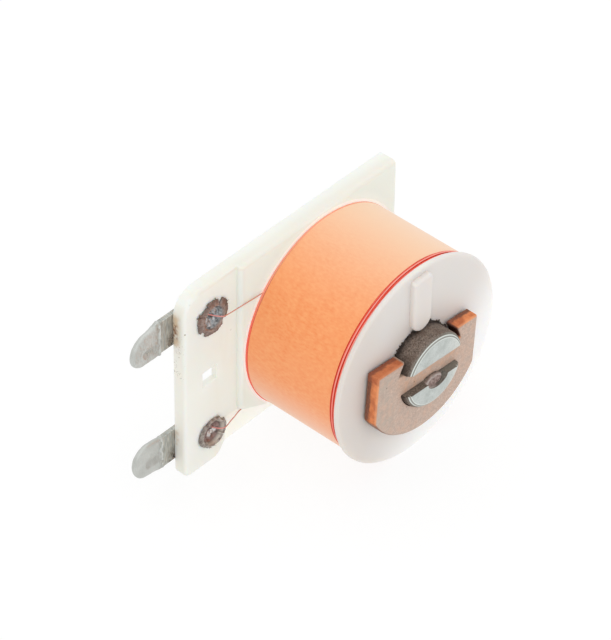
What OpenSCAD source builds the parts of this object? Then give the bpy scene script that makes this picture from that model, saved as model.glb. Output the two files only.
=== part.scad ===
// Relay coil: a moulded bobbin carries a paper-wrapped winding on a steel core with a shaded pole.
// Sizes are in millimetres. X runs to the right, Y to the rear and Z up.
// The origin is on the coil axis, at the rear face that lies on the relay's frame.

/* [Core] */
// Diameter of the steel core
core_d = 12.7; // [11:0.1:14]
// How far the pole face stands in front of the front flange
pole_reach = 3.8; // [3.4:0.1:5]
// Width of the slot across the pole face
pole_slot_w = 3.9; // [3:0.1:4.4]
// Turn of the slot and of the shading ring about the coil axis, in degrees
pole_turn = 4; // [0:0.5:10]
// Chamfer around the pole face
pole_chamfer = 0.6; // [0.2:0.1:0.8]
// Tapping hole in the rear end of the core
screw_hole_d = 3.5; // [2.8:0.1:4.4]
// Depth of the tapping hole
screw_hole_depth = 12; // [8:0.5:16]

/* [Shading ring] */
// Width of the ring across its two flat sides
ring_width = 22.2; // [20:0.2:24]
// Diameter of the round lower edge of the ring
ring_round_d = 25.6; // [24.4:0.2:28]
// Coil axis to the lowest point of the ring
ring_bottom = 10.4; // [9.8:0.1:11]
// Thickness of the copper plate
ring_thickness = 2.25; // [1.6:0.05:2.6]
// Space between the flange and the ring, which rests on the floor of the slot
ring_lift = 0.3; // [0.2:0.05:0.7]
// How far the ring lies to the left of the coil axis
ring_shift = 0.5; // [0:0.1:0.8]
// Height of the two ears above the coil axis
ring_ear_height = 4.1; // [3:0.1:4.6]
// Rounding of the front edge of the ring
ring_edge = 0.5; // [0.2:0.1:0.8]
// Space between the ring and the lower half of the pole
ring_clearance = 0.15; // [0.1:0.05:0.3]
// Space between the ears and the upper half of the pole
ear_clearance = 0.7; // [0.2:0.1:1]

/* [Rear plate] */
// Coil axis to the free end of the terminal tongue
tongue_reach = 29.1; // [28:0.1:34]
// Coil axis to the right edge of the plate
plate_right = 16.2; // [14:0.1:20]
// Coil axis to the top edge of the plate
plate_top = 18; // [17.5:0.1:21]
// Coil axis to the bottom edge of the plate
plate_bottom = 17.3; // [17:0.1:20]
// Thickness of the plate behind the winding
plate_thickness = 3.2; // [2.8:0.1:4]
// Thickness of the terminal tongue
tongue_thickness = 2.3; // [2:0.1:2.6]
// Coil axis to the step where the thicker part of the plate begins
step_left = 18; // [17.6:0.1:19]
// Rounding of the upper corner of the tongue
tongue_upper_radius = 4; // [2:0.1:5]
// Rounding of the lower corner of the tongue
tongue_lower_radius = 1.2; // [0.6:0.1:1.8]
// Rounding of the corner between the tongue and the lead ramp
ramp_corner_radius = 2.5; // [1.5:0.1:3]
// Thickness of the plate at the foot of the lead ramp
ramp_land = 0.5; // [0.4:0.1:0.9]
// Side of the square window in the tongue
window_side = 3; // [2.4:0.1:3.6]
// Thickness of the tongue in front of the pocket behind the window
window_web = 1.1; // [0.9:0.1:1.4]

/* [Barrel and front flange] */
// Length of the winding space between the plate and the flange
winding_space = 18; // [14:0.1:24]
// Wall of the barrel around the core
barrel_wall = 1.2; // [1:0.1:2]
// Diameter of the front flange
flange_d = 35.2; // [34.4:0.1:38]
// Thickness of the front flange
flange_thickness = 0.9; // [0.7:0.1:1.6]
// Width of the key rib on the front flange
rib_width = 4; // [3:0.1:5]
// Height of the key rib above the flange
rib_height = 1; // [0.6:0.1:1.4]
// Space between the core and the bore of the bobbin
core_clearance = 0.05; // [0.02:0.01:0.1]

/* [Winding] */
// Diameter over the enamelled wire
winding_d = 33.6; // [30:0.1:33.8]
// Diameter of the enamelled wire
wire_d = 0.3; // [0.25:0.01:0.35]
// Space between the winding and the bobbin at each end
winding_gap = 0.1; // [0.05:0.01:0.15]
// Thickness of the paper wrap
paper_thickness = 0.2; // [0.1:0.05:0.25]
// Width of bare turns between the paper and the plate
rear_bare = 0.4; // [0.35:0.05:0.6]
// Width of bare turns between the paper and the front flange
front_bare = 1.05; // [0.6:0.05:1.4]

/* [Terminals] */
// Coil axis to the middle of the eyelets, to the left
eyelet_left = 23.4; // [23:0.1:25]
// Coil axis to the middle of each eyelet, up and down
eyelet_height = 11.4; // [10.5:0.1:12]
// Outer diameter of the eyelet's tube
eyelet_d = 3.8; // [3.4:0.1:4]
// Wall of the eyelet's tube
eyelet_wall = 0.4; // [0.3:0.05:0.5]
// Diameter of the rolled rear head of the eyelet
eyelet_head_d = 5.6; // [5.2:0.1:6]
// Diameter over the petals of the upper eyelet
upper_petal_d = 6.6; // [6:0.1:6.8]
// Diameter over the petals of the lower eyelet
lower_petal_d = 5.7; // [5.4:0.1:6]
// Width of the solder lug
lug_width = 5.9; // [5.4:0.1:6.4]
// Thickness of the solder lug
lug_thickness = 0.8; // [0.5:0.05:1]
// How far the lug stands out past the tongue
lug_reach = 8.4; // [7.5:0.1:11]
// Thickness of the tinning on the lug
tin_thickness = 0.2; // [0.1:0.05:0.3]
// Bare length of lug between the tongue and the tinning
tin_start = 2.2; // [1.5:0.1:3]

/* [Hidden] */
$fn = 72;
overlap = 1;
merge = 0.2;
groove_relief = 0.05;
// Distances in front of the rear face
flange_rear = plate_thickness + winding_space;
flange_front = flange_rear + flange_thickness;
slot_floor = flange_front + ring_lift;
ring_front = slot_floor + ring_thickness;
pole_face = flange_front + pole_reach;
// Radii about the coil axis
core_r = core_d / 2;
barrel_r = core_r + core_clearance + barrel_wall;
winding_r = winding_d / 2;
paper_r = winding_r + paper_thickness;
flange_r = flange_d / 2;
flange_edge = flange_thickness * 0.4;
rib_end_space = 0.1;
rib_top_space = 1.2;
// Edges of the pole's slot, up from the coil axis
slot_top = pole_slot_w / 2;
slot_bottom = -pole_slot_w / 2;
bar_clearance = 0.05;
// The stake that locks the ring: a peened lip of the lower half of the pole
stake_right = 0.45;
stake_half = 0.95;
stake_r = 1.15;
stake_depth = 0.45;
// Whole turns that fit between the paper and the front flange
bare_turns = floor(front_bare / wire_d);
// The lap of the paper: where it begins, how far it goes, in degrees, and its distance from the edges
lap_start = 292;
lap_angle = 24;
lap_inset = 0.1;
// The lead ramp at the lower edge of the plate
ramp_left = eyelet_left - 2.8;
ramp_step = 10;
ramp_top = 10.5;
ramp_slope = 24.4;
ramp_end = -step_left + (plate_bottom - ramp_step) / tan(ramp_slope);
ramp_rise = (tongue_thickness - ramp_land) / (plate_bottom - ramp_top);
// The groove behind the winding for the inner lead, which runs out past the slope above the ramp
groove_angle = 227;
groove_w = 1;
groove_run_out = 0.25;
groove_exit_r = (ramp_step + step_left * tan(ramp_slope))
    / (-sin(groove_angle) - tan(ramp_slope) * cos(groove_angle));
groove_end_r = groove_exit_r + groove_run_out;
groove_bend_r = 16.6;
// The window's middle, and the pocket behind it
window_left = eyelet_left + 0.3;
pocket_w = 6.5;
pocket_h = 7.5;
// The lugs and their wire holes
lug_tip = tongue_reach + lug_reach;
lug_r = lug_width / 2;
lug_eye_r = lug_r + 0.3;
wire_hole_r = 1.1;
wire_hole_half = 1.1;
wire_hole_back = 3.9;
tin_dimple = 0.12;
dimple_edge = 0.2;
// The eyelets: flare of the front end, height of the petals and level of the solder in the bore
eyelet_bore_r = eyelet_d / 2 - eyelet_wall;
eyelet_clearance = 0.05;
petal_rise = 0.65;
petal_edge = 0.3;
rim_width = 0.4;
bore_edge = 0.1;
head_thickness = 0.45;
head_edge = 0.2;
head_bore_flare = 0.25;
head_bore_edge = 0.15;
solder_level = 1.6;
solder_seat = 0.02;
solder_inset = 0.2;
// Slits between the petals: angle about the eyelet, width, and distance from the middle
upper_slits = [[20, 0.4, 2.3], [59, 0.7, 2.2], [144, 0.4, 2.3], [222, 0.9, 2.3], [318, 0.9, 2.2]];
lower_slits = [[39, 0.4, 2.2], [139, 0.3, 2.3], [242, 0.3, 2.3], [311, 0.3, 2.3]];
// Leads as seen from the front: left and right, up and down, and the distance in front of the rear face
lead_top = plate_thickness + wire_d / 2;
rim_top = tongue_thickness + petal_rise + wire_d / 2;
finish_r = winding_r + wire_d / 2;
finish_route = concat(
    [for (a = [112 : 7 : 140]) [finish_r * cos(a), finish_r * sin(a), plate_thickness + 0.3]],
    [[-14.6, 10.76, lead_top + 0.1], [-16.3, 10.88, lead_top + 0.1], [-18.4, 11, lead_top + 0.05],
     [-eyelet_left + 2.4, eyelet_height - 0.44, rim_top + 0.06],
     [-eyelet_left + 1.9, eyelet_height - 0.34, rim_top + 0.06],
     [-eyelet_left + 1.2, eyelet_height - 0.12, rim_top - 0.3],
     [-eyelet_left - 0.55, eyelet_height + 0.83, solder_level + 0.1]]);
start_x = barrel_r * cos(groove_angle);
start_y = barrel_r * sin(groove_angle);
start_route = concat(
    [[start_x - 0.1, start_y - 0.1, plate_thickness - wire_d / 2],
     [start_x - 0.9, start_y - 0.95, plate_thickness - 0.45],
     [groove_bend_r * cos(groove_angle), groove_bend_r * sin(groove_angle), plate_thickness - 0.5],
     [-12.35, -12.8, tongue_thickness - 0.1], [-14, -12.05, tongue_thickness - 0.24],
     [-16, -11.15, tongue_thickness], [-17.5, -10.8, tongue_thickness + 0.16]],
    [[-19, -11, tongue_thickness + 0.42], [-20.2, -11.06, tongue_thickness + 0.65],
     [-eyelet_left + 2.3, -eyelet_height + 0.27, rim_top + 0.06],
     [-eyelet_left + 1.9, -eyelet_height + 0.24, rim_top + 0.06],
     [-eyelet_left + 1.3, -eyelet_height + 0.22, rim_top - 0.35],
     [-eyelet_left + 0.6, -eyelet_height + 0.3, solder_level + 0.1]]);

// Stands the part up: drawn as seen from the front, with its height above the rear face
module stand() {
    rotate([90, 0, 0]) children();
}

// A stretch of smooth curve between two route points
function bend(a, b, c, d, t) = 0.5 * (2 * b + (c - a) * t
    + (2 * a - 5 * b + 4 * c - d) * t * t
    + (3 * b - a - 3 * c + d) * t * t * t);

// A route made smooth, with four steps to each stretch
function smooth(route) = let (last = len(route) - 1) concat(
    [for (i = [0 : last - 1], k = [0 : 3]) bend(route[max(i - 1, 0)], route[i], route[i + 1],
        route[min(i + 2, last)], k / 4)],
    [route[last]]);

function unit(v) = v / norm(v);

// A round wire along a route
module wire(route, d, sides = 10) {
    path = smooth(route);
    last = len(path) - 1;
    rings = [for (i = [0 : last])
        let (along = unit(path[min(i + 1, last)] - path[max(i - 1, 0)]))
        let (side = unit(cross(along, [0, 0, 1])))
        let (over = cross(side, along))
        for (k = [0 : sides - 1])
            let (a = 360 * k / sides)
            path[i] + d / 2 * (cos(a) * side + sin(a) * over)];
    walls = [for (i = [0 : last - 1], k = [0 : sides - 1])
        let (n = (k + 1) % sides, here = i * sides, next = here + sides)
        each [[here + k, here + n, next + n], [here + k, next + n, next + k]]];
    ends = [[for (k = [sides - 1 : -1 : 0]) k], [for (k = [0 : sides - 1]) last * sides + k]];
    polyhedron(points = rings, faces = concat(walls, ends), convexity = 6);
}

// Bar with round ends, along the left and right direction
module round_bar(half, r) {
    translate([-half, -r]) square([2 * half, 2 * r]);
    translate([-half, 0]) circle(r);
    translate([half, 0]) circle(r);
}

module plate_outline() {
    height = plate_top + plate_bottom;
    translate([-tongue_reach + tongue_upper_radius, -plate_bottom])
        square([plate_right + tongue_reach - tongue_upper_radius, height]);
    translate([-tongue_reach, -plate_bottom + tongue_lower_radius])
        square([tongue_upper_radius + overlap, height - tongue_upper_radius - tongue_lower_radius]);
    translate([-tongue_reach + tongue_lower_radius, -plate_bottom])
        square([tongue_upper_radius, tongue_lower_radius + overlap]);
    translate([-tongue_reach + tongue_upper_radius, plate_top - tongue_upper_radius])
        circle(tongue_upper_radius);
    translate([-tongue_reach + tongue_lower_radius, -plate_bottom + tongue_lower_radius])
        circle(tongue_lower_radius);
}

// The thicker part of the plate, cut back along a slope above the lead ramp
module step_outline() {
    polygon([[-step_left, plate_top], [-step_left, -ramp_step], [ramp_end, -plate_bottom],
        [plate_right, -plate_bottom], [plate_right, plate_top]]);
}

module ramp_outline() {
    polygon([[-ramp_left, -ramp_step], [-step_left, -ramp_step], [ramp_end, -plate_bottom],
        [ramp_end, -plate_bottom - overlap], [-ramp_left, -plate_bottom - overlap]]);
    difference() {
        translate([-ramp_left - ramp_corner_radius, -plate_bottom - overlap])
            square([ramp_corner_radius + 0.1, ramp_corner_radius + overlap]);
        translate([-ramp_left - ramp_corner_radius, -plate_bottom + ramp_corner_radius])
            circle(ramp_corner_radius);
    }
}

// Everything in front of the ramp's slope
module ramp_cut() {
    foot = -plate_bottom - 2 * overlap;
    intersection() {
        linear_extrude(plate_thickness + overlap) ramp_outline();
        translate([-tongue_reach, 0, 0]) rotate([90, 0, 90]) linear_extrude(tongue_reach + plate_right)
            polygon([[-ramp_top, tongue_thickness], [-ramp_top, plate_thickness + 2 * overlap],
                [foot, plate_thickness + 2 * overlap], [foot, ramp_land - ramp_rise * 2 * overlap]]);
    }
}

module rib_outline() {
    low = core_r + rib_end_space + rib_width / 2;
    translate([-rib_width / 2, low]) square([rib_width, flange_r - rib_top_space - low]);
    translate([0, low]) circle(d = rib_width);
}

// The flange with its softened rim
module flange_body() {
    rotate_extrude() polygon(concat([[0, flange_rear]],
        [for (a = [-90 : 22.5 : 0]) [flange_r - flange_edge + flange_edge * cos(a),
            flange_rear + flange_edge + flange_edge * sin(a)]],
        [for (a = [0 : 22.5 : 90]) [flange_r - flange_edge + flange_edge * cos(a),
            flange_front - flange_edge + flange_edge * sin(a)]],
        [[0, flange_front]]));
}

// One white moulding: rear plate with terminal tongue, barrel, front flange and key rib
module bobbin() {
    color([0.93, 0.92, 0.88]) stand() difference() {
        union() {
            difference() {
                union() {
                    linear_extrude(tongue_thickness) plate_outline();
                    linear_extrude(plate_thickness) step_outline();
                }
                ramp_cut();
            }
            translate([0, 0, plate_thickness - merge])
                cylinder(r = barrel_r, h = winding_space + 2 * merge);
            flange_body();
            translate([0, 0, flange_front - merge]) linear_extrude(rib_height + merge) rib_outline();
        }
        translate([0, 0, -overlap])
            cylinder(r = core_r + core_clearance, h = flange_front + rib_height + 2 * overlap);
        for (side = [-1, 1]) translate([-eyelet_left, side * eyelet_height, -overlap])
            cylinder(d = eyelet_d + 2 * eyelet_clearance, h = tongue_thickness + 2 * overlap);
        translate([-window_left - window_side / 2, -window_side / 2, -overlap])
            cube([window_side, window_side, tongue_thickness + 2 * overlap]);
        translate([-eyelet_left - pocket_w / 2, -pocket_h / 2, -overlap])
            cube([pocket_w, pocket_h, tongue_thickness - window_web + overlap]);
        rotate([0, 0, groove_angle]) translate([barrel_r - merge / 2, -groove_w / 2, tongue_thickness])
            cube([groove_end_r - barrel_r + merge / 2, groove_w,
                plate_thickness - tongue_thickness + groove_relief]);
    }
}

// Turned steel core: tapped rear end, slotted pole and a lip peened over the shading ring
module core() {
    color([0.55, 0.55, 0.54]) stand() {
        difference() {
            union() {
                cylinder(r = core_r, h = pole_face - pole_chamfer);
                translate([0, 0, pole_face - pole_chamfer])
                    cylinder(r1 = core_r, r2 = core_r - pole_chamfer, h = pole_chamfer);
            }
            translate([0, 0, -overlap]) cylinder(d = screw_hole_d, h = screw_hole_depth + overlap);
            rotate([0, 0, -pole_turn]) {
                translate([-core_d, slot_bottom, slot_floor]) cube([2 * core_d, pole_slot_w, pole_reach]);
                translate([stake_right, slot_bottom, pole_face - stake_depth])
                    linear_extrude(stake_depth + overlap) round_bar(stake_half, stake_r);
            }
        }
        rotate([0, 0, -pole_turn]) translate([stake_right, slot_bottom, ring_front])
            linear_extrude(pole_face - stake_depth - ring_front) round_bar(stake_half, stake_r);
    }
}

// Stamped copper blank: a round disc with a softened front edge, cut to two flat sides and a flat top
module ring_blank() {
    r = ring_round_d / 2;
    intersection() {
        translate([-ring_shift, r - ring_bottom, 0]) rotate_extrude() polygon(concat([[0, 0], [r, 0]],
            [for (a = [0 : 22.5 : 90]) [r - ring_edge + ring_edge * cos(a),
                ring_thickness - ring_edge + ring_edge * sin(a)]],
            [[0, ring_thickness]]));
        translate([-ring_shift - ring_width / 2, -ring_round_d, -overlap])
            cube([ring_width, ring_round_d + ring_ear_height, ring_thickness + 2 * overlap]);
    }
}

// Half of a round opening about the coil axis, above or below a level
module half_opening(r, level, up) {
    intersection() {
        translate([0, 0, -overlap]) cylinder(r = r, h = ring_thickness + 2 * overlap);
        translate([-core_d, up ? level : level - core_d, -2 * overlap])
            cube([2 * core_d, core_d, ring_thickness + 4 * overlap]);
    }
}

// The bar fills the pole's slot, the ears stand beside its upper half,
// and the opening goes around its lower half
module shading_ring() {
    color([0.72, 0.45, 0.3]) stand() rotate([0, 0, -pole_turn]) translate([0, 0, slot_floor])
        difference() {
            ring_blank();
            half_opening(core_r + ear_clearance, slot_top - bar_clearance, true);
            half_opening(core_r + ring_clearance, slot_bottom + bar_clearance, false);
        }
}

// Layers of red enamelled wire, with bare turns standing at both ends
module winding() {
    color([0.75, 0.16, 0.12]) stand() difference() {
        union() {
            translate([0, 0, plate_thickness + winding_gap])
                cylinder(r = winding_r, h = winding_space - 2 * winding_gap);
            for (k = [0 : bare_turns - 1]) translate([0, 0, flange_rear - winding_gap - (k + 0.7) * wire_d])
                rotate_extrude() translate([winding_r - wire_d / 4, 0]) circle(d = wire_d * 0.98, $fn = 16);
        }
        translate([0, 0, plate_thickness]) cylinder(r = barrel_r, h = winding_space);
    }
}

// Orange paper around the winding, lapped underneath
module paper_wrap() {
    low = plate_thickness + winding_gap + rear_bare;
    length = winding_space - 2 * winding_gap - rear_bare - front_bare;
    color([0.95, 0.6, 0.3]) stand() difference() {
        union() {
            translate([0, 0, low]) cylinder(r = paper_r, h = length);
            translate([0, 0, low + lap_inset]) rotate([0, 0, lap_start]) rotate_extrude(angle = lap_angle)
                translate([winding_r, 0]) square([2 * paper_thickness, length - 2 * lap_inset]);
        }
        translate([0, 0, low - overlap]) cylinder(r = winding_r, h = length + 2 * overlap);
    }
}

// The inner end of the wire: out along the groove, under the step's edge and into the lower eyelet
module start_lead() {
    color([0.72, 0.2, 0.15]) stand() wire(start_route, wire_d);
}

// The outer end of the wire: off the last turn and across the tongue into the upper eyelet
module finish_lead() {
    color([0.72, 0.2, 0.15]) stand() wire(finish_route, wire_d);
}

// Flat lug on the rear of the tongue, drawn with the eyelet's middle as its zero point
module lug_outline() {
    tip = lug_tip - eyelet_left - lug_r;
    translate([-tip, -lug_r]) square([tip, lug_width]);
    translate([-tip, 0]) circle(lug_r);
    circle(lug_eye_r);
}

module wire_hole(inset = 0) {
    translate([-(lug_tip - eyelet_left - wire_hole_back), 0])
        round_bar(wire_hole_half, wire_hole_r - inset);
}

module lug(side) {
    stand() translate([-eyelet_left, side * eyelet_height, -lug_thickness]) linear_extrude(lug_thickness)
        difference() {
            lug_outline();
            circle(d = eyelet_d + 2 * eyelet_clearance);
            wire_hole();
        }
}

module upper_lug() {
    color([0.66, 0.66, 0.62]) lug(1);
}

module lower_lug() {
    color([0.66, 0.66, 0.62]) lug(-1);
}

// Tinning around the end of a lug, which also closes its wire hole
module tinning(side) {
    tip = lug_tip - eyelet_left - lug_r;
    near = tongue_reach + tin_start - eyelet_left;
    stand() translate([-eyelet_left, side * eyelet_height, 0]) difference() {
        translate([0, 0, -lug_thickness - tin_thickness])
            linear_extrude(lug_thickness + 2 * tin_thickness) {
            translate([-tip, -lug_r - tin_thickness])
                square([tip - near, lug_width + 2 * tin_thickness]);
            translate([-tip, 0]) circle(lug_r + tin_thickness);
        }
        translate([0, 0, -lug_thickness]) linear_extrude(lug_thickness) difference() {
            lug_outline();
            wire_hole();
        }
        translate([0, 0, tin_thickness - tin_dimple]) linear_extrude(overlap)
            wire_hole(dimple_edge);
    }
}

module upper_lug_tinning() {
    color([0.74, 0.75, 0.74]) tinning(1);
}

module lower_lug_tinning() {
    color([0.74, 0.75, 0.74]) tinning(-1);
}

// Tubular eyelet: rolled head on the lug, and a front end split into petals that lie on the tongue
module eyelet(side, petal_d, slits) {
    tube_r = eyelet_d / 2;
    head_z = -lug_thickness - head_thickness;
    base = tongue_thickness;
    stand() translate([-eyelet_left, side * eyelet_height, 0]) difference() {
        rotate_extrude() polygon([
            [eyelet_bore_r, head_z + head_bore_edge], [eyelet_bore_r + head_bore_flare, head_z],
            [eyelet_head_d / 2 - head_edge, head_z], [eyelet_head_d / 2, head_z + head_edge],
            [eyelet_head_d / 2, -lug_thickness], [tube_r, -lug_thickness], [tube_r, base],
            [petal_d / 2, base], [petal_d / 2, base + petal_edge], [tube_r + rim_width, base + petal_rise],
            [tube_r, base + petal_rise], [eyelet_bore_r, base + bore_edge]]);
        for (s = slits) rotate([0, 0, s[0]]) translate([s[2], -s[1] / 2, base - 0.01])
            cube([petal_d, s[1], petal_rise + overlap]);
    }
}

module upper_eyelet() {
    color([0.5, 0.38, 0.32]) eyelet(1, upper_petal_d, upper_slits);
}

module lower_eyelet() {
    color([0.5, 0.38, 0.32]) eyelet(-1, lower_petal_d, lower_slits);
}

// Solder that fills the rear of an eyelet and holds the end of the lead
module eyelet_solder(side) {
    low = -lug_thickness - head_thickness + solder_inset;
    stand() translate([-eyelet_left, side * eyelet_height, low])
        cylinder(r = eyelet_bore_r, h = solder_level + solder_seat - low);
}

module upper_eyelet_solder() {
    color([0.7, 0.71, 0.7]) eyelet_solder(1);
}

module lower_eyelet_solder() {
    color([0.7, 0.71, 0.7]) eyelet_solder(-1);
}

bobbin();
core();
shading_ring();
winding();
paper_wrap();
start_lead();
finish_lead();
upper_lug();
lower_lug();
upper_eyelet();
lower_eyelet();
upper_eyelet_solder();
lower_eyelet_solder();
upper_lug_tinning();
lower_lug_tinning();
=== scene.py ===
import math
import random

import bmesh
import bpy
from mathutils import Matrix, Vector, noise


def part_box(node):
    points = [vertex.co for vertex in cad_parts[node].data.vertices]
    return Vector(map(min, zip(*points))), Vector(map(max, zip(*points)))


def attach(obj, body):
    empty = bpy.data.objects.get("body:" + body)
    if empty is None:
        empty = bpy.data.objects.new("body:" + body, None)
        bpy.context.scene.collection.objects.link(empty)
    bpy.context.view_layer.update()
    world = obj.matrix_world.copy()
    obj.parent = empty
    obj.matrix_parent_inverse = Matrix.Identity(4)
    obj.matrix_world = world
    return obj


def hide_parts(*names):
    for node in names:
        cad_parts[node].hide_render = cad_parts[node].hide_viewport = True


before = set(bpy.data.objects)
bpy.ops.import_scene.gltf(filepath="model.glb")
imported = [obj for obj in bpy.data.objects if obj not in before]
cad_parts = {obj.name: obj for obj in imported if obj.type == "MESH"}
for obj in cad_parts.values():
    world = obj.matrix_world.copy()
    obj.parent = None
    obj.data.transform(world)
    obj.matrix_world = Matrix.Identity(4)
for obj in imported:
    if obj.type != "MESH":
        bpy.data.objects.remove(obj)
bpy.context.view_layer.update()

# Every piece is modelled in millimetres as the coil stands on its rear face: x to the right and y up
# as seen from the front, z towards the front. fit_to_frame() then lays it into the frame.

# Bobbin: one white nylon moulding. A rear plate with a thinner terminal tongue, a barrel inside
# the winding, and a round front flange with a key rib. It is injection moulded, so its edges are
# soft, and handling has left specks on the tongue and rust beside the lugs.
MM = 1000


def reach(node):
    """Left, right, bottom, top, rear and front of a CAD node, in millimetres as seen from the front."""
    low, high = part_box(node)
    return [MM * v for v in (low[0], high[0], low[2], high[2], -high[1], -low[1])]


tongue_left, flange_r, flange_bottom, plate_top, plate_rear, rib_front = reach("bobbin")
plate_right = 16.2
plate_bottom = -17.3
plate_front = 3.2
tongue_front = 2.3
tongue_round = 4
foot_round = 1.2
step_left = -18
step_lap = 1
ramp_left = -20.6
ramp_right = -1.9
ramp_top = -10
ramp_crest = ramp_top - 0.5
ramp_land = 0.5
ramp_round = 2.5
edge_soft = 0.2
front_soft = 0.7
MERGE = 1e-4


def oval(middle, half_x, half_y, start, end, steps=14):
    """Points along an ellipse or a part of one, with its angles in degrees."""
    turn = [math.radians(start + (end - start) * k / steps) for k in range(steps + 1)]
    return [(middle[0] + half_x * math.cos(a), middle[1] + half_y * math.sin(a)) for a in turn]


def arc(middle, r, start, end, steps=10):
    return oval(middle, r, r, start, end, steps)


def trace(name, points):
    """A closed or open chain of edges, drawn by extruding one vertex from point to point."""
    bpy.ops.object.select_all(action="DESELECT")
    bpy.ops.mesh.primitive_plane_add(size=1)
    piece = bpy.context.object
    piece.name = name
    piece.data.name = name
    bpy.ops.object.mode_set(mode="EDIT")
    bpy.ops.mesh.merge(type="CENTER")
    bpy.ops.transform.translate(value=points[0])
    for here, there in zip(points, points[1:]):
        step = Vector(there) - Vector(here)
        bpy.ops.mesh.extrude_region_move(TRANSFORM_OT_translate={"value": step})
    bpy.ops.mesh.select_all(action="SELECT")
    bpy.ops.mesh.remove_doubles(threshold=MERGE)
    return piece


def close_up(piece):
    """Merges doubles, turns all faces outwards and leaves edit mode."""
    bpy.ops.mesh.select_all(action="SELECT")
    bpy.ops.mesh.remove_doubles(threshold=MERGE)
    bpy.ops.mesh.normals_make_consistent(inside=False)
    bpy.ops.object.mode_set(mode="OBJECT")
    return piece


def fill_and_raise(piece, height):
    """Fills the closed chain that is being edited and pulls it up into a solid."""
    bpy.ops.mesh.edge_face_add()
    bpy.ops.mesh.extrude_region_move(TRANSFORM_OT_translate={"value": (0, 0, height)})
    return close_up(piece)


def prism(name, outline, low, high):
    """A flat outline made a solid between two heights."""
    piece = trace(name, [(x, y, low) for x, y in outline + outline[:1]])
    return fill_and_raise(piece, high - low)


def block(name, middle, size, low, high):
    """A plain rectangular prism about a middle point."""
    x, y = middle
    w, h = size[0] / 2, size[1] / 2
    return prism(name, [(x - w, y - h), (x + w, y - h), (x + w, y + h), (x - w, y + h)], low, high)


def turned(name, profile, steps=128, middle=(0, 0)):
    """A profile of radius and height spun about an axis that stands at the middle."""
    x, y = middle
    piece = trace(name, [(x + r, y, z) for r, z in profile])
    bpy.ops.mesh.spin(steps=steps, angle=2 * math.pi, center=(x, y, 0), axis=(0, 0, 1))
    return close_up(piece)


def only(piece):
    """Makes a piece the one that operators act on."""
    bpy.ops.object.select_all(action="DESELECT")
    piece.select_set(True)
    bpy.context.view_layer.objects.active = piece


def modify(piece, kind, **settings):
    """Adds a modifier with its settings and applies it."""
    only(piece)
    bpy.ops.object.modifier_add(type=kind)
    step = piece.modifiers[-1]
    for key, value in settings.items():
        setattr(step, key, value)
    bpy.ops.object.modifier_apply(modifier=step.name)


def unite(piece, other):
    modify(piece, "BOOLEAN", operation="UNION", solver="EXACT", object=other)
    bpy.data.objects.remove(other)


def cut(piece, cutter):
    modify(piece, "BOOLEAN", operation="DIFFERENCE", solver="EXACT", object=cutter)
    bpy.data.objects.remove(cutter)


def soften(piece, width, segments=3, angle=40):
    """Rounds every edge that is sharper than the angle, as a mould or a tumbling drum does."""
    modify(piece, "BEVEL", width=width, segments=segments, limit_method="ANGLE",
           angle_limit=math.radians(angle), use_clamp_overlap=False, miter_outer="MITER_ARC")


def round_edges(piece, test, width, segments=4):
    """Bevels only the edges whose two ends pass the test."""
    only(piece)
    bpy.ops.object.mode_set(mode="EDIT")
    bpy.ops.mesh.select_mode(type="EDGE")
    bpy.ops.mesh.select_all(action="DESELECT")
    shape = bmesh.from_edit_mesh(piece.data)
    for edge in shape.edges:
        edge.select_set(all(test(v.co) for v in edge.verts))
    bmesh.update_edit_mesh(piece.data)
    bpy.ops.mesh.bevel(offset=width, offset_type="OFFSET", segments=segments, affect="EDGES")
    bpy.ops.mesh.select_mode(type="VERT")
    close_up(piece)


def at_front_of_tongue(p):
    return p.z > tongue_front - MERGE and p.x < ramp_left - MERGE


def at_front_of_plate(p):
    return p.z > plate_front - MERGE and (p.x < step_left + MERGE or p.y > plate_top - MERGE)


bobbin = prism(
    "bobbin",
    [(step_left + step_lap, plate_top)]
    + arc((tongue_left + tongue_round, plate_top - tongue_round), tongue_round, 90, 180)
    + arc((tongue_left + foot_round, plate_bottom + foot_round), foot_round, 180, 270, 6)
    + [(ramp_right + step_lap, plate_bottom), (step_left + step_lap, ramp_top)],
    plate_rear, tongue_front)
ramp_space = prism(
    "ramp_space",
    [(ramp_left, ramp_top), (2, ramp_top), (2, plate_bottom - 2), (ramp_left - ramp_round, plate_bottom - 2)]
    + arc((ramp_left - ramp_round, plate_bottom + ramp_round), ramp_round, 270, 360),
    plate_rear - 1, plate_front + 1)
only(ramp_space)
bpy.ops.object.mode_set(mode="EDIT")
bpy.ops.mesh.select_all(action="SELECT")
ramp_normal = Vector((0, ramp_land - tongue_front, ramp_crest - plate_bottom)).normalized()
bpy.ops.mesh.bisect(plane_co=(0, plate_bottom, ramp_land), plane_no=ramp_normal,
                    use_fill=True, clear_inner=True)
close_up(ramp_space)
cut(bobbin, ramp_space)
round_edges(bobbin, at_front_of_tongue, front_soft, 5)
soften(bobbin, edge_soft)

thick_part = prism(
    "thick_part",
    [(step_left, plate_top), (step_left, ramp_top), (ramp_right, plate_bottom),
     (plate_right, plate_bottom), (plate_right, plate_top)],
    plate_rear, plate_front)
round_edges(thick_part, at_front_of_plate, front_soft, 6)
soften(thick_part, edge_soft)
unite(bobbin, thick_part)

barrel_r = 7.6
flange_rear = 21.2
flange_front = 22.1
flange_soft = 0.42
unite(bobbin, turned(
    "flange",
    [(0, plate_rear + 1), (barrel_r, plate_rear + 1), (barrel_r, flange_rear)]
    + arc((flange_r - flange_soft, flange_rear + flange_soft), flange_soft, -90, 0, 5)
    + arc((flange_r - flange_soft, flange_front - flange_soft), flange_soft, 0, 90, 5)
    + [(0, flange_front)], 160))

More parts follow.
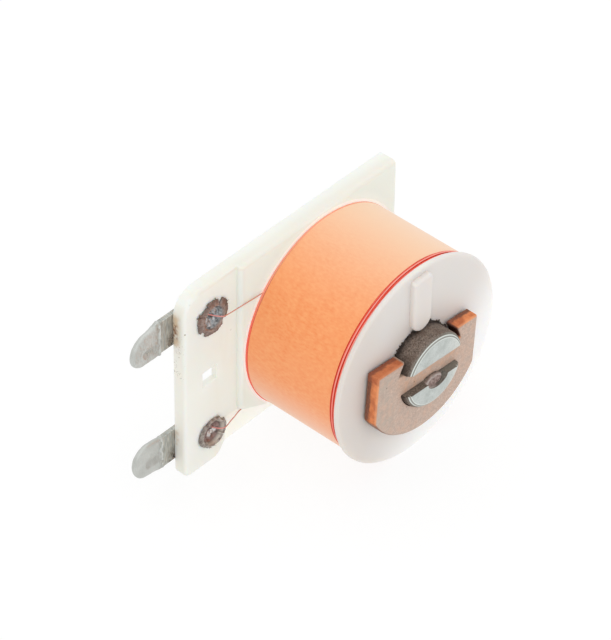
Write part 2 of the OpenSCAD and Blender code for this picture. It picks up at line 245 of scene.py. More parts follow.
rib_half = 2
rib_foot = 8.45
rib_head = 16.4
rib_round = 0.5
rib_sunk = 0.6
rib_soft = 0.45
rib = prism(
    "rib",
    arc((0, rib_foot), rib_half, 180, 360, 14)
    + arc((rib_half - rib_round, rib_head - rib_round), rib_round, 0, 90, 4)
    + arc((rib_round - rib_half, rib_head - rib_round), rib_round, 90, 180, 4),
    flange_front - rib_sunk, rib_front)
round_edges(rib, lambda p: p.z > rib_front - MERGE, rib_soft, 5)
unite(bobbin, rib)

bore_r = 6.4
eyelet_x = -23.4
eyelet_y = 11.4
hole_r = 1.95
hole_flare = 2.5
hole_shift = 0.15
cut(bobbin, turned("bore", [(0, -1), (bore_r, -1), (bore_r, 30), (0, 30)]))
hole_profile = [(0, -1), (hole_r, -1), (hole_r, 1.5), (hole_flare, 2.4), (hole_flare, 4), (0, 4)]
for side in (-1, 1):
    cut(bobbin, turned("eyelet_hole", hole_profile, 48, (eyelet_x + hole_shift, side * eyelet_y)))

window_x = -23.7
window_half = 1.5
window_low = -1.2
window_middle = (window_x, (window_half + window_low) / 2)


def at_window(p):
    beside = abs(p.x - window_x) < window_half + MERGE and abs(p.y) < window_half + MERGE
    return p.z > tongue_front - MERGE and beside


cut(bobbin, block("window", window_middle, (2 * window_half, window_half - window_low), -1, 4))
round_edges(bobbin, at_window, edge_soft)

pocket_size = (6.5, 7.5)
pocket_depth = 1.2
groove_middle = (12.6, 0)
groove_size = (10.2, 1)
groove_turn = 227
cut(bobbin, block("pocket", (eyelet_x, 0), pocket_size, -1, pocket_depth))
groove = block("groove", groove_middle, groove_size, tongue_front, plate_front + 0.05)
groove.matrix_world = Matrix.Rotation(math.radians(groove_turn), 4, "Z")
cut(bobbin, groove)


def paint(r, g, b):
    """A colour as seen on a screen, 0 to 255, in the linear values that shaders take."""
    def linear(v):
        v /= 255
        return v / 12.92 if v <= 0.04045 else ((v + 0.055) / 1.055) ** 2.4
    return (linear(r), linear(g), linear(b), 1)


class Mixer:
    """A shader's node tree, with short ways to add the nodes that finishes are mixed from.
    A mask is a socket that lies between 0 and 1."""

    def __init__(self, tree):
        self.tree = tree

    def add(self, kind, inputs, **settings):
        """A node with its settings, and with each input set to a value or linked from a socket."""
        node = self.tree.nodes.new("ShaderNode" + kind)
        for key, value in settings.items():
            setattr(node, key, value)
        for key, value in inputs.items():
            if isinstance(value, bpy.types.NodeSocket):
                self.tree.links.new(value, node.inputs[key])
            else:
                node.inputs[key].default_value = value
        return node

    def maths(self, operation, a, b=0.0, c=0.0):
        return self.add("Math", {0: a, 1: b, 2: c}, operation=operation).outputs[0]

    def product(self, *masks):
        result = masks[0]
        for mask in masks[1:]:
            result = self.maths("MULTIPLY", result, mask)
        return result

    def most(self, *masks):
        result = masks[0]
        for mask in masks[1:]:
            result = self.maths("MAXIMUM", result, mask)
        return result

    def span(self, mask, start, end):
        """A value that goes from start, where the mask is 0, to end, where it is 1."""
        return self.maths("MULTIPLY_ADD", mask, end - start, start)

    def ramp(self, value, low, high):
        """A soft step: 0 below low and 1 above high, or the other way round where high is the lower."""
        rises = low < high
        limits = {"From Min": min(low, high), "From Max": max(low, high),
                  "To Min": 0.0 if rises else 1.0, "To Max": 1.0 if rises else 0.0}
        return self.add("MapRange", {"Value": value, **limits}, interpolation_type="SMOOTHSTEP").outputs[0]

    def band(self, value, middle, half, soft):
        """1 within half of the middle value, and 0 further out."""
        away = self.maths("ABSOLUTE", self.maths("SUBTRACT", value, middle))
        return self.ramp(away, half + soft, half)

    def tint(self, under, over, *masks):
        """The colour under, with the colour over laid on it by the product of the masks.
        A colour is a socket, or red, green and blue as seen on a screen."""
        under, over = (c if isinstance(c, bpy.types.NodeSocket) else paint(*c) for c in (under, over))
        return self.add("Mix", {0: self.product(*masks), 6: under, 7: over}, data_type="RGBA").outputs[2]


def make_coil_place():
    """Where a point lies on the coil, in millimetres: its place, right, up, depth to the front, radius."""
    group = bpy.data.node_groups.new("coil_place", "ShaderNodeTree")
    group.interface.new_socket("Place", in_out="OUTPUT", socket_type="NodeSocketVector")
    for name in ("Right", "Up", "Depth", "Radius"):
        group.interface.new_socket(name, in_out="OUTPUT", socket_type="NodeSocketFloat")
    mixer = Mixer(group)
    coords = mixer.add("TexCoord", {})
    place = mixer.add("VectorMath", {0: coords.outputs["Object"], "Scale": MM}, operation="SCALE").outputs[0]
    right, backwards, up = mixer.add("SeparateXYZ", {0: place}).outputs
    depth = mixer.product(backwards, -1.0)
    squares = mixer.maths("ADD", mixer.product(right, right), mixer.product(up, up))
    radius = mixer.maths("SQRT", squares)
    out = group.nodes.new("NodeGroupOutput")
    given = {"Place": place, "Right": right, "Up": up, "Depth": depth, "Radius": radius}
    for name, value in given.items():
        group.links.new(value, out.inputs[name])
    return group


def make_blotches():
    """Uneven patches of a size in millimetres.
    Low and High are the levels of noise where a patch begins and where it is full."""
    group = bpy.data.node_groups.new("blotches", "ShaderNodeTree")
    group.interface.new_socket("Place", in_out="INPUT", socket_type="NodeSocketVector")
    for name, value in (("Size", 1.0), ("Detail", 3.0), ("Low", 0.4), ("High", 0.6)):
        socket = group.interface.new_socket(name, in_out="INPUT", socket_type="NodeSocketFloat")
        socket.default_value = value
    group.interface.new_socket("Mask", in_out="OUTPUT", socket_type="NodeSocketFloat")
    mixer = Mixer(group)
    given = group.nodes.new("NodeGroupInput").outputs
    fineness = mixer.maths("DIVIDE", 1.0, given["Size"])
    grain = mixer.add("TexNoise", {"Vector": given["Place"], "Scale": fineness, "Detail": given["Detail"]})
    levels = {"From Min": given["Low"], "From Max": given["High"]}
    patch = mixer.add("MapRange", {"Value": grain.outputs[0], **levels})
    out = group.nodes.new("NodeGroupOutput")
    group.links.new(patch.outputs[0], out.inputs["Mask"])
    return group


coil_place = make_coil_place()
blotches = make_blotches()


class Finish(Mixer):
    """A material with its shader's fixed values, and with sockets for where a point lies on the coil."""

    def __init__(self, name, **constants):
        self.material = bpy.data.materials.new(name)
        self.material.use_nodes = True
        super().__init__(self.material.node_tree)
        self.shader = self.tree.nodes["Principled BSDF"]
        for key, value in constants.items():
            self.shader.inputs[key.replace("_", " ")].default_value = value
        lies_at = self.add("Group", {}, node_tree=coil_place)
        self.place, self.right, self.up, self.depth, self.radius = lies_at.outputs

    def feed(self, socket, value):
        self.tree.links.new(value, self.shader.inputs[socket])

    def roughen(self, height, distance, strength):
        """Bump of a depth in metres from a height mask."""
        bump = self.add("Bump", {"Height": height, "Distance": distance, "Strength": strength})
        self.feed("Normal", bump.outputs[0])

    def patches(self, size, low, high, detail=3.0, shift=(0, 0, 0), stretch=(1, 1, 1)):
        """A mask of uneven patches, moved and stretched so that no two look the same."""
        moved = self.add("Mapping", {"Vector": self.place, "Location": shift, "Scale": stretch})
        values = {"Place": moved.outputs[0], "Size": size, "Detail": detail, "Low": low, "High": high}
        return self.add("Group", values, node_tree=blotches).outputs["Mask"]

    def spots(self, *marks):
        """A mask of round marks, each given as right, up, depth and radius in millimetres."""
        mask = 0.0
        for right, up, depth, r in marks:
            away = self.add("VectorMath", {0: self.place, 1: (right, -depth, up)}, operation="DISTANCE")
            mask = self.maths("MAXIMUM", self.ramp(away.outputs["Value"], r, r * 0.4), mask)
        return mask


def fit_to_frame(piece, node, finish, angle=35):
    """Lays a finished piece into the frame in metres, smooths it, paints it, hangs it under the root body and
    hides the CAD part that it stands for.
    """
    only(piece)
    piece.matrix_world = Matrix.Rotation(math.pi / 2, 4, "X") @ Matrix.Scale(1 / MM, 4) @ piece.matrix_world
    bpy.ops.object.transform_apply(location=True, rotation=True, scale=True)
    bpy.ops.object.shade_smooth_by_angle(angle=math.radians(angle))
    modify(piece, "WEIGHTED_NORMAL", keep_sharp=True)
    piece.data.materials.clear()
    piece.data.materials.append(finish.material)
    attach(piece, "root")
    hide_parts(node)


nylon = Finish("nylon", IOR=1.53, Emission_Strength=0.3,
               Subsurface_Weight=0.5, Subsurface_Scale=0.001, Subsurface_Radius=(1.6, 1.3, 1.0))
right, up, depth, radius = nylon.right, nylon.up, nylon.depth, nylon.radius
colour = nylon.tint((244, 246, 240), (240, 242, 235), nylon.patches(9, 0.35, 0.7))

at_flange = nylon.ramp(depth, flange_rear - 2.2, flange_front - 0.1)
to_lower_right = nylon.maths("SUBTRACT", right, up)
# Painted light and shade on the flange: it grows paler towards its lower right, takes a pinkish painted shade
# near the pole and darkens at its left.
flange_light_and_shade = nylon.tint((231, 225, 220), (254, 253, 252), nylon.ramp(to_lower_right, 4, 24))
flange_light_and_shade = nylon.tint(flange_light_and_shade, (228, 214, 206), nylon.ramp(radius, 13, 6), 0.5)
flange_light_and_shade = nylon.tint(flange_light_and_shade, (217, 206, 197), nylon.ramp(right, -6, -13), 0.4)
colour = nylon.tint(colour, flange_light_and_shade, at_flange)

on_plate = nylon.product(nylon.ramp(depth, plate_front + 0.4, plate_front + 0.1),
                         nylon.ramp(depth, plate_front - 0.3, plate_front - 0.1))
# Painted light: a cool tint on the plate near the coil, against the orange light bounced onto it from the
# paper.
colour = nylon.tint(colour, (233, 243, 232), on_plate, nylon.ramp(radius, 27, 19), 0.4)
# Warmer streaks in a band on the tongue, just left of the step.
warm_streaks = nylon.product(nylon.band(right, -20.5, 2.2, 2), nylon.ramp(depth, 6, 4),
                         nylon.patches(3, 0.3, 0.8, stretch=(2, 1, 0.25)))
colour = nylon.tint(colour, (238, 233, 220), warm_streaks, 0.4)
# Painted shade along the step between the tongue and the thick part of the plate.
step_shade = nylon.product(nylon.band(right, step_left + 0.4, 0.4, 0.4),
                        nylon.band(depth, plate_front - 0.3, 0.4, 0.2),
                        nylon.ramp(up, ramp_top, ramp_top + 0.5))
colour = nylon.tint(colour, (232, 233, 225), step_shade, 0.3)
# Painted shade: the plate's top face darkens towards its front edge.
top_shade = nylon.product(nylon.ramp(up, plate_top - 0.9, plate_top - 0.4), nylon.ramp(depth, 0.4, 2.6))
colour = nylon.tint(colour, (237, 234, 223), top_shade, 0.8)

# Painted shade on the tongue's left side face.
shaded_side = nylon.product(nylon.ramp(right, tongue_left + 0.9, tongue_left + 0.3),
                          nylon.ramp(depth, tongue_front, tongue_front - 0.5))
colour = nylon.tint(colour, (234, 230, 220), shaded_side, 0.6)
dusty_side = nylon.product(nylon.ramp(right, tongue_left + 0.9, tongue_left + 0.4),
                           nylon.ramp(depth, tongue_front, tongue_front - 0.7),
                           nylon.band(up, 4.5, 5, 3))
dust = nylon.product(dusty_side, nylon.patches(0.22, 0.63, 0.7, 1.0, (3, 1, 4)),
                     nylon.patches(2.2, 0.48, 0.6, 2.0, (8, 1, 5)))
colour = nylon.tint(colour, (140, 126, 112), dust, 0.75)
specks = nylon.spots((tongue_left, 7.7, 1.34, 0.13), (tongue_left, 6.73, 1.22, 0.13),
                     (tongue_left, 3.48, 0.26, 0.18), (-28.79, 11.49, 2.2, 0.2))
colour = nylon.tint(colour, (140, 124, 108), specks, 0.7)
faint_specks = nylon.spots((-27.76, 16.6, tongue_front, 0.25), (-19.2, 6.4, tongue_front, 0.25))
colour = nylon.tint(colour, (205, 203, 196), faint_specks, 0.4)

side_face = nylon.ramp(right, tongue_left + 0.5, tongue_left + 0.1)
near_rear = nylon.ramp(depth, 1.3, 0.5)
upper_tan = nylon.product(side_face, nylon.ramp(depth, 1.9, 0.6), nylon.band(up, eyelet_y + 0.2, 2.4, 1.2),
                          nylon.patches(1.1, 0.25, 0.6, 4.0, (7, 1, 2)))
colour = nylon.tint(colour, (226, 196, 160), upper_tan, 0.85)
lower_tan = nylon.product(side_face, near_rear, nylon.band(up, 1.8 - eyelet_y, 1.6, 1.2),
                          nylon.patches(0.9, 0.4, 0.6, 4.0, (7, 6, 2)))
colour = nylon.tint(colour, (214, 192, 168), lower_tan, 0.7)
rust = nylon.product(side_face, near_rear, nylon.band(up, eyelet_y - 0.1, 1.1, 0.8),
                     nylon.patches(0.8, 0.42, 0.55, 4.0, (1, 8, 4)))
colour = nylon.tint(colour, (138, 88, 56), rust, 0.9)
nylon.feed("Base Color", colour)

# Painted glow: the nylon gives off light of its own beside the coil, at the flange's lower right and on the
# lead ramp
beside_coil = nylon.product(nylon.ramp(radius, 19, 17), on_plate, 0.24)
at_coil = nylon.product(nylon.ramp(radius, 17.7, 17.1), on_plate, 0.85)
low_flange = nylon.product(nylon.ramp(to_lower_right, 0, 20), at_flange, 0.29)
on_ramp = nylon.product(nylon.ramp(up, ramp_top + 0.1, ramp_top - 0.6),
                        nylon.ramp(right, ramp_left - 0.2, ramp_left + 0.4),
                        nylon.band(depth, (ramp_land + tongue_front) / 2, 0.95, 0.1), 0.4)
painted_glow = nylon.most(beside_coil, at_coil, low_flange, on_ramp)
nylon.feed("Emission Color", nylon.tint((0, 0, 0), (252, 252, 244), painted_glow))
nylon.feed("Roughness", nylon.span(nylon.patches(2.5, 0.2, 0.8, 4.0, (2, 2, 9)), 0.42, 0.56))
nylon.roughen(nylon.patches(0.5, 0.2, 0.8), 0.00003, 0.2)
fit_to_frame(bobbin, "bobbin", nylon)

# Core: a turned bar of mild steel, tapped at the rear for the screw that holds the coil to the relay.
# Its front end is the pole, sawn across for the shading ring, with one lip peened down on the copper.
core_r = 6.35
pole_face = reach("core")[5]
pole_turn = math.radians(-4)
turned_pole = Matrix.Rotation(pole_turn, 4, "Z")
line_r = 5.95
face_r = 5.62
slot_half = 1.95
slot_floor = 22.4
stake_x = 0.45
stake_half = 1.95
stake_wide = 0.95
stake_floor = 25.0
lip_y = -0.4 - slot_half
lip_low = reach("shading_ring")[5] - 0.1
thread_pitch = 0.794
thread_turns = 14
thread_start = 0.35
thread_inner_r = 1.72
thread_outer_r = 2.05
core = turned(
    "core",
    [(0, 0), (core_r - 0.35, 0), (core_r, 0.35), (core_r, pole_face - 0.75),
     (core_r - 0.06, pole_face - 0.58), (line_r, pole_face - 0.2), (face_r, pole_face), (0, pole_face)], 180)
slot = block("slot", (0, 0), (20, 2 * slot_half), slot_floor, pole_face + 1)
slot.matrix_world = turned_pole
cut(core, slot)
dent_outline = oval((stake_x + 0.35, -slot_half), stake_half + 0.25, 1.35, 0, 350, 35)
stake_dent = prism("stake_dent", dent_outline, stake_floor, pole_face + 1)
stake_dent.matrix_world = turned_pole
cut(core, stake_dent)
thread = [(0, -1), (2.2, -1), (2.2, 0.1)]
for turn in range(thread_turns):
    thread += [(thread_inner_r, thread_start + turn * thread_pitch),
               (thread_outer_r, thread_start + (turn + 0.5) * thread_pitch)]
cut(core, turned("tapped_hole", thread + [(thread_inner_r, 11.6), (0, 12.4)], 48))
soften(core, 0.06, 2, 28)

bpy.ops.object.select_all(action="DESELECT")
bpy.ops.mesh.primitive_uv_sphere_add(segments=64, ring_count=32, radius=1)
lip = bpy.context.object
for v in lip.data.vertices:
    round_x = math.copysign(abs(v.co.x) ** 0.85, v.co.x)
    crown = 0.92 * (1 - max(0, 1 - abs(v.co.z)) ** 3) if v.co.z > 0 else v.co.z * 0.2
    worn = noise.noise(Vector((v.co.x * 2.6, v.co.y * 2.6, 4))) * 0.12
    dip = 0.14 * max(0, 1 - (v.co.x ** 2 + v.co.y ** 2) * 1.6)
    rag = 1 + 0.06 * noise.noise(Vector((v.co.x * 2.4, v.co.y * 2.4, 9)))
    v.co = (stake_x + stake_half * round_x * rag, lip_y + stake_wide * v.co.y * rag,
            lip_low + crown + (worn - dip if v.co.z > 0 else 0))
lip.matrix_world = turned_pole

# The bur that the flange's bore has scraped up round the foot of the pole
bur_steps = 300
bur_height = 0.12
rng = random.Random(5)
bur_points = []
for k in range(bur_steps):
    a = 2 * math.pi * k / bur_steps
    crowd = 0.5 + 0.5 * noise.noise(Vector((3 * math.cos(a), 3 * math.sin(a), 2)))
    r = core_r + 0.06 + crowd * rng.choice((0.12, 0.25, 0.5, 1.0))
    bur_points.append((r * math.cos(a), r * math.sin(a), flange_front + 0.02))
bur = fill_and_raise(trace("bur", bur_points + bur_points[:1]), bur_height)
for v in bur.data.vertices:
    if v.co.z > flange_front + 0.1:
        v.co.z += 0.5 * max(-0.15, noise.noise(Vector((v.co.x * 2.5, v.co.y * 2.5, 6))))
cut(bur, turned("bur_bore", [(0, 20), (core_r - 0.05, 20), (core_r - 0.05, 25), (0, 25)], 180))


def join(piece, *others):
    """Makes loose pieces part of one mesh."""
    only(piece)
    for other in others:
        other.select_set(True)
    bpy.ops.object.join()


join(core, lip, bur)

steel = Finish("core_steel")
right, depth, radius = steel.right, steel.depth, steel.radius
scale_grain = steel.patches(0.24, 0.32, 0.68, 4.0)
colour = steel.tint((86, 75, 67), (152, 136, 124), scale_grain)
colour = steel.tint(colour, (112, 92, 80), steel.patches(1.6, 0.45, 0.65, 3.0, (4, 0, 0)), 0.5)
# Painted shade: the core darkens towards its left side.
colour = steel.tint(colour, (66, 57, 52), steel.ramp(right, -3.5, -6.2), 0.55)
foot = steel.product(steel.ramp(depth, flange_front + 1.3, flange_front + 0.2), steel.patches(0.6, 0.2, 0.5))
colour = steel.tint(colour, (54, 46, 42), foot, 0.85)

in_slot = steel.product(steel.ramp(radius, core_r - 0.05, core_r - 0.15),
                        steel.band(depth, pole_face - 3, 2.88, 0.06))
slot_colour = steel.tint((96, 87, 80), (146, 136, 125), steel.patches(0.3, 0.3, 0.7, 4.0, (3, 3, 0)))
slot_colour = steel.tint(slot_colour, (142, 141, 132), steel.ramp(right, 1.2, 3.6), 0.7)
colour = steel.tint(colour, slot_colour, in_slot)
on_chamfer = steel.product(steel.ramp(depth, pole_face - 0.3, pole_face - 0.2),
                           steel.ramp(radius, face_r - 0.12, face_r))
colour = steel.tint(colour, (158, 158, 152), on_chamfer)

face = steel.product(steel.ramp(depth, pole_face - 0.05, pole_face - 0.02),
                     steel.ramp(radius, face_r + 0.02, face_r - 0.04))
face_colour = steel.tint((182, 188, 184), (204, 209, 206), steel.patches(1.2, 0.3, 0.7, 4.0, (0, 0, 5)))
# Painted reflection: the pole face grows paler towards the right.
face_colour = steel.tint(face_colour, (222, 224, 218), steel.ramp(right, 2.0, 5.5), 0.7)
face_colour = steel.tint(face_colour, (160, 164, 158), steel.patches(0.22, 0.48, 0.68, 3.0, (7, 7, 7)), 0.4)
colour = steel.tint(colour, face_colour, face)
# Painted highlight along the round edges of the pole face.
edge_highlight = steel.most(steel.band(radius, face_r, 0.035, 0.05), steel.band(radius, line_r, 0.035, 0.06))
near_face = steel.ramp(depth, pole_face - 0.45, pole_face - 0.3)
colour = steel.tint(colour, (232, 238, 233), edge_highlight, near_face, 0.85)

lip_frame = steel.add("Mapping", {"Vector": steel.place, "Location": (stake_x - 0.13, 0, lip_y - 0.03),
                                  "Rotation": (0, -pole_turn, 0), "Scale": (stake_half, MM, stake_wide)},
                      vector_type="TEXTURE")
lip_out = steel.add("VectorMath", {0: lip_frame.outputs[0]}, operation="LENGTH").outputs["Value"]
on_lip = steel.product(steel.ramp(lip_out, 1.05, 1.0), steel.ramp(depth, pole_face - 0.15, pole_face - 0.2),
                       steel.ramp(depth, lip_low + 0.2, lip_low + 0.5))
lip_colour = steel.tint((128, 106, 100), (176, 155, 148), steel.patches(0.35, 0.35, 0.65, 4.0, (0, 7, 0)))
lip_colour = steel.tint(lip_colour, (208, 199, 193), steel.band(lip_out, 0.88, 0.05, 0.1), 0.6)
colour = steel.tint(colour, lip_colour, on_lip)
steel.feed("Base Color", colour)
steel.feed("Metallic", steel.span(face, 0.5, 0.8))
steel.feed("Roughness", steel.span(face, 0.62, 0.34))
steel.roughen(steel.product(scale_grain, steel.span(face, 1.0, 0.0)), 0.00006, 0.5)
fit_to_frame(core, "core", steel, 32)

# Shading ring: a plate of copper, stamped out with an ear at each end. Its bar lies in the pole's slot
# and its opening goes round the lower half of the pole. The die left the rims round and two-toned.
ring_rear, ring_front = reach("shading_ring")[4:]
ring_shift = -0.5
ring_half = 11.1
ring_round = 12.8
ring_bottom = -11.0
ring_soft = 0.4
ear_top = 4.1
ear_inner_r = 7.05
opening_r = 6.5
bar_half = 1.9
round_middle = (ring_shift, ring_bottom + ring_round)
side_turn = math.degrees(math.acos(ring_half / ring_round))
ear_turn = math.degrees(math.asin(ear_top / ear_inner_r))
bar_turn = math.degrees(math.asin(bar_half / ear_inner_r))
foot_turn = math.degrees(math.asin(bar_half / opening_r))
shading_ring = prism(
    "shading_ring",
    [(ring_shift - ring_half, ear_top)]
    + arc(round_middle, ring_round, 180 + side_turn, 360 - side_turn, 60)
    + [(ring_shift + ring_half, ear_top)]
    + arc((0, 0), ear_inner_r, ear_turn, bar_turn, 6)
    + arc((0, 0), ear_inner_r, 180 - bar_turn, 180 - ear_turn, 6),
    ring_rear, ring_front)
cut(shading_ring, prism("opening", arc((0, 0), opening_r, 180 + foot_turn, 360 - foot_turn, 48),
                        ring_rear - 1, ring_front + 1))


def at_ring_rim(p):
    return p.z > ring_front - MERGE and math.hypot(p.x, p.y) > opening_r + 0.3


round_edges(shading_ring, at_ring_rim, ring_soft)
soften(shading_ring, 0.1, 2)
shading_ring.matrix_world = turned_pole

copper = Finish("copper")
right, up, depth, radius = copper.right, copper.up, copper.depth, copper.radius
ragged = copper.patches(0.9, 0.2, 0.8, 4.0)
break_depth = copper.span(ragged, ring_rear + 0.5, ring_rear + 1.1)
sheared = copper.ramp(copper.maths("SUBTRACT", depth, break_depth), -0.22, 0.22)
streaks = copper.patches(0.5, 0.3, 0.7, 3.0, stretch=(1, 0.3, 1))
bright = copper.tint((229, 139, 85), (242, 157, 101), streaks)
bright = copper.tint(bright, (186, 98, 62), copper.patches(1.3, 0.42, 0.6, 4.0, (3, 8, 2)), 0.6)
broken = copper.tint((116, 72, 54), (150, 98, 75), copper.patches(0.35, 0.3, 0.7, 4.0))
colour = copper.tint(broken, bright, sheared)
# Painted highlight on the rounded front rim of the ring's upper part.
rim_highlight = copper.product(copper.ramp(depth, ring_front - 0.5, ring_front - 0.25), copper.ramp(up, -4.5, -3))
colour = copper.tint(colour, (236, 172, 128), rim_highlight, 0.45)
# Painted shade: the rims and sides of the ring's lower part turn dark grey-brown.
underside_shade = copper.tint((112, 84, 70), (152, 120, 104), ragged)
colour = copper.tint(colour, underside_shade, copper.ramp(up, -3.4, -4.8), 0.9)
colour = copper.tint(colour, (172, 88, 56), copper.ramp(up, ear_top - 0.7, ear_top - 0.3), 0.45)
# Inner walls of the ears beside the pole: tan cut copper on the left, and painted shade in the dark gap on
# the right.
ear_inside = copper.product(copper.ramp(radius, ear_inner_r + 0.45, ear_inner_r + 0.15),
                            copper.ramp(copper.maths("ABSOLUTE", right), 3, 5), copper.ramp(up, 1.2, 1.9))
cut_face_and_shade = copper.tint((172, 146, 128), (84, 48, 38), copper.ramp(right, -1, 1))
colour = copper.tint(colour, cut_face_and_shade, ear_inside)

face = copper.ramp(depth, ring_front - 0.16, ring_front - 0.02)
grain = copper.patches(0.3, 0.28, 0.72, 5.0)
face_colour = copper.tint((182, 158, 143), (218, 195, 180), grain)
left_grey = copper.product(copper.ramp(right, -6.5, -9.5), copper.patches(1.4, 0.25, 0.6, 3.0, (2, 3, 1)))
face_colour = copper.tint(face_colour, (180, 170, 157), left_grey, 0.45)
near_bar = copper.product(copper.band(up, 0.2, 1.6, 1.4), copper.ramp(radius, 8.5, 5),
                          copper.patches(1.1, 0.3, 0.65, 3.0, (9, 3, 1)))
face_colour = copper.tint(face_colour, (222, 168, 128), near_bar, 0.55)
face_colour = copper.tint(face_colour, (214, 176, 152), copper.patches(1.0, 0.45, 0.65, 5.0, (6, 1, 3)), 0.4)
face_colour = copper.tint(face_colour, (178, 158, 146), copper.patches(0.9, 0.5, 0.66, 5.0, (1, 6, 8)), 0.35)
scrapes = copper.spots((-4.6, -4.3, ring_front, 0.3), (-4.9, -4.6, ring_front, 0.2),
                       (0.6, -6.9, ring_front, 0.25), (-9.6, 2.2, ring_front, 0.18),
                       (-3.4, -0.6, ring_front, 0.2))
face_colour = copper.tint(face_colour, (120, 92, 80), scrapes, 0.7)
colour = copper.tint(colour, face_colour, face)
copper.feed("Base Color", colour)
copper.feed("Metallic", copper.span(face, 0.4, 0.25))
copper.feed("Roughness", copper.span(grain, 0.5, 0.65))
copper.roughen(grain, 0.00004, 0.35)
fit_to_frame(shading_ring, "shading_ring", copper)

# Winding: layers of red enamelled copper wire on the barrel. The paper hides all but the end turns,
# which the winder laid by eye, so that they wander and cross beside the two flanges.
wire = 0.3
turn_thickness = 0.8 * wire
winding_r = 16.8
winding_rear = 3.3
winding_front = 21.1
under_paper_r = winding_r - 0.1
rear_turns_r = winding_r + 0.14
front_turns_r = winding_r + 0.18
front_turns_rear = winding_front - 1.0
paper_front = 20.04
winding = turned(
    "winding",
    [(barrel_r, winding_rear), (winding_r + 0.1, winding_rear), (rear_turns_r, winding_rear + 0.1),
     (rear_turns_r, winding_rear + 0.26), (under_paper_r, winding_rear + 0.4),
     (under_paper_r, front_turns_rear - 0.2), (under_paper_r, front_turns_rear),
     (front_turns_r, front_turns_rear), (front_turns_r, winding_front - 0.1),
     (winding_r, winding_front), (barrel_r, winding_front), (barrel_r, winding_rear)], 180)


def paper_edge(angle):
    """Depth of the paper's front edge at an angle round the coil: it was cut a little uneven."""
    return paper_front + 0.09 * noise.noise(Vector((2.2 * math.cos(angle), 2.2 * math.sin(angle), 8)))


for v in winding.data.vertices:
    out = Vector((v.co.x, v.co.y))
    angle = math.atan2(out.y, out.x)
    if abs(v.co.z - front_turns_rear) < MERGE:
        v.co.z = paper_edge(angle) + 0.02
    if out.length > winding_r and v.co.z < winding_rear + 0.3:
        drop = 0.12 * max(0, math.cos(angle - math.radians(80)))
        v.co.x, v.co.y = out * (1 - drop / out.length)


def wire_along(name, points, thickness, closed=False):
    """A round wire through a row of points: a smooth curve with a round section, made a mesh."""
    curve = bpy.data.curves.new(name, "CURVE")
    curve.dimensions = "3D"
    curve.bevel_depth = thickness / 2
    curve.bevel_resolution = 3
    curve.use_fill_caps = True
    curve.resolution_u = 2 if closed else 6
    spline = curve.splines.new("BEZIER")
    spline.bezier_points.add(len(points) - 1)
    spline.use_cyclic_u = closed
    for knot, point in zip(spline.bezier_points, points):
        knot.co = point
        knot.handle_left_type = knot.handle_right_type = "AUTO"
    piece = bpy.data.objects.new(name, curve)
    bpy.context.collection.objects.link(piece)
    only(piece)
    bpy.ops.object.convert(target="MESH")
    return bpy.context.object


def wandering_turn(seed, high, low, knots=90):
    """Points of one turn of wire.
    High and low are its radius and depth at the upper right and at the lower left of the coil."""
    points = []
    for k in range(knots):
        a = 2 * math.pi * k / knots
        share = 0.5 - 0.5 * math.cos(a - math.radians(70))
        at = Vector((1.6 * math.cos(a) + seed * 7, 1.6 * math.sin(a), seed * 3))
        r = high[0] + (low[0] - high[0]) * share + 0.04 * noise.noise(at * 2 + Vector((5, 0, 0)))
        z = high[1] + (low[1] - high[1]) * share + 0.12 * noise.noise(at)
        points.append((r * math.cos(a), r * math.sin(a), z))
    return points


end_turns = [
    wandering_turn(1, (16.98, 20.24), (16.97, 20.5)),
    wandering_turn(2, (17.08, 20.5), (17.07, 20.76)),
    wandering_turn(3, (16.98, 20.78), (16.97, 20.93)),
    wandering_turn(4, (17.08, 21.04), (17.07, 21.06)),
    wandering_turn(5, (16.88, 3.5), (17.0, 3.44)),
    wandering_turn(6, (16.86, 3.34), (16.98, 3.34)),
]
join(winding, *[wire_along("turn", points, turn_thickness, True) for points in end_turns])

enamel = Finish("enamelled_wire", Roughness=0.5, Specular_IOR_Level=0.2, Coat_Weight=0.15, Coat_Roughness=0.2)
right, up, depth, radius = enamel.right, enamel.up, enamel.depth, enamel.radius
colour = enamel.tint((240, 68, 40), (248, 100, 74), enamel.patches(1.4, 0.3, 0.7))
# Painted highlight on the crowns of the end turns, stronger towards the top.
crown_highlight = enamel.span(enamel.ramp(up, -8, 6), 0.25, 0.85)
on_crown = enamel.ramp(radius, winding_r + 0.28, winding_r + 0.36)
colour = enamel.tint(colour, (252, 172, 160), on_crown, crown_highlight)
# Painted shade deep between the front end turns.
shade_between_turns = enamel.product(enamel.ramp(radius, winding_r + 0.27, winding_r + 0.18),
                               enamel.ramp(radius, 8, 12), enamel.ramp(depth, 8, 12))
colour = enamel.tint(colour, (204, 40, 16), shade_between_turns, 0.95)
# Painted highlight on the rear end turns, paler towards the top.
rear_highlight = enamel.tint((244, 112, 92), (250, 176, 146), enamel.ramp(up, 3, 14))
colour = enamel.tint(colour, rear_highlight, enamel.ramp(depth, winding_rear + 0.9, winding_rear + 0.5), 0.8)
on_leads = enamel.ramp(radius, winding_r + 0.5, winding_r + 0.8)
colour = enamel.tint(colour, (204, 134, 116), on_leads, 0.9)
colour = enamel.tint(colour, (246, 158, 152), enamel.ramp(right, eyelet_x + 2.2, eyelet_x + 1.6), 0.85)
enamel.feed("Base Color", colour)
fit_to_frame(winding, "winding", enamel, 50)

# Paper wrap: one strip of orange fish paper rolled round the winding and lapped underneath,
# cut a little uneven at both edges and stuck down along the lap.
paper_thickness = 0.2
paper_rear = 3.74
paper_rows = 12
row_step = (paper_front - paper_rear) / paper_rows
lap_start = 292
lap_turn = 24
wrap_step = 2
sheet_middle = winding_r + paper_thickness / 2


def limited(value):
    """A value kept between 0 and 1."""
    return min(1, max(0, value))


